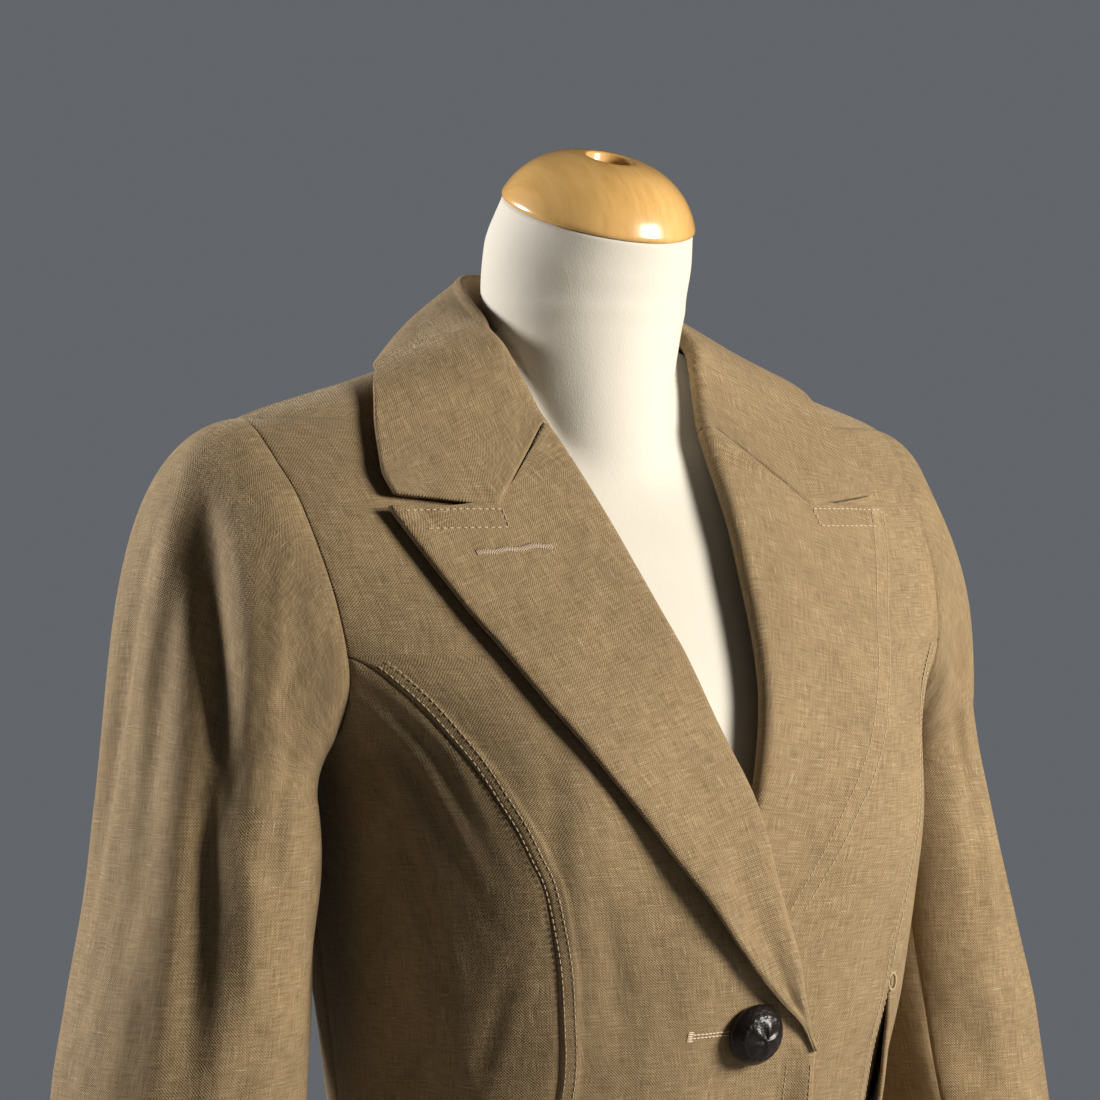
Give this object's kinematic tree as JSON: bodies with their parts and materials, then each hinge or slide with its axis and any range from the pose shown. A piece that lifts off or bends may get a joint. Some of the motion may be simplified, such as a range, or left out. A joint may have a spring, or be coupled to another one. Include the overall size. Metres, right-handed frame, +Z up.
{
  "type": "linen blazer on a limbless dress form",
  "caption": "Fitted single-breasted linen blazer with peak-notch lapels and princess seams, worn on a plain limbless dress form that stands on its flat base.",
  "frame": {"origin": "on the flat underside of the dress form, below the middle of the neck", "axes": "+Z up, the front of the blazer faces -Y, the wearer's left is +X"},
  "size_m": [0.601, 0.285, 0.8026],
  "materials": {
    "linen": "matt slubby plain weave",
    "button_leather": "polished, embossed",
    "form_jersey": "matt smooth jersey",
    "form_wood": "clear varnish, gloss"
  },
  "bodies": {
    "root": {"front_left": "linen", "side_front_left": "linen", "back_left": "linen", "lapel_left": "linen", "sleeve_top_left": "linen", "sleeve_under_left": "linen", "front_right": "linen", "side_front_right": "linen", "back_right": "linen", "lapel_right": "linen", "sleeve_top_right": "linen", "sleeve_under_right": "linen", "collar": "linen", "pocket_facing_left": "linen", "button_upper": "button_leather", "button_lower": "button_leather", "form_body": "form_jersey", "form_cap": "form_wood"}
  },
  "joints": []
}
